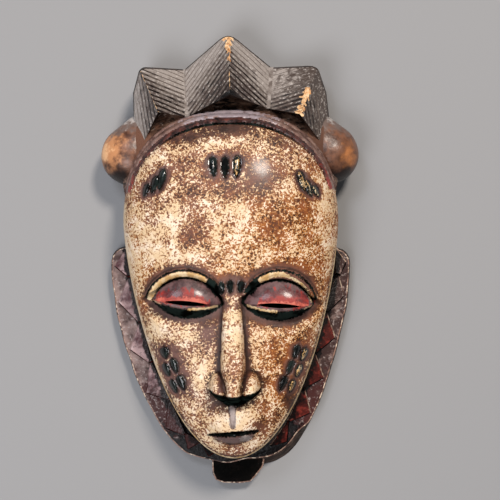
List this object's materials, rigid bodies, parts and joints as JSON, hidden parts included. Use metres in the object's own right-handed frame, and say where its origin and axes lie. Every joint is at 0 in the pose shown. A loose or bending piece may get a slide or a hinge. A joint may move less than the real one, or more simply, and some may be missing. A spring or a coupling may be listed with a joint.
{
  "type": "tribal mask",
  "caption": "Hollow carved wooden face mask with a three-pointed crown, side buns, a toothed ruff behind the jaw and pierced eye slits.",
  "frame": {"origin": "middle of the whole outline on the plane of the back rim, which the mask lies on", "axes": "+X to the viewer's right, +Y from the chin to the crown, +Z out of the face"},
  "size_m": [0.209, 0.3648, 0.105],
  "materials": {
    "painted_wood": "hand-painted and waxed wood, worn to the bare grain on its ridges"
  },
  "bodies": {
    "root": {"mask": "painted_wood"}
  },
  "joints": []
}
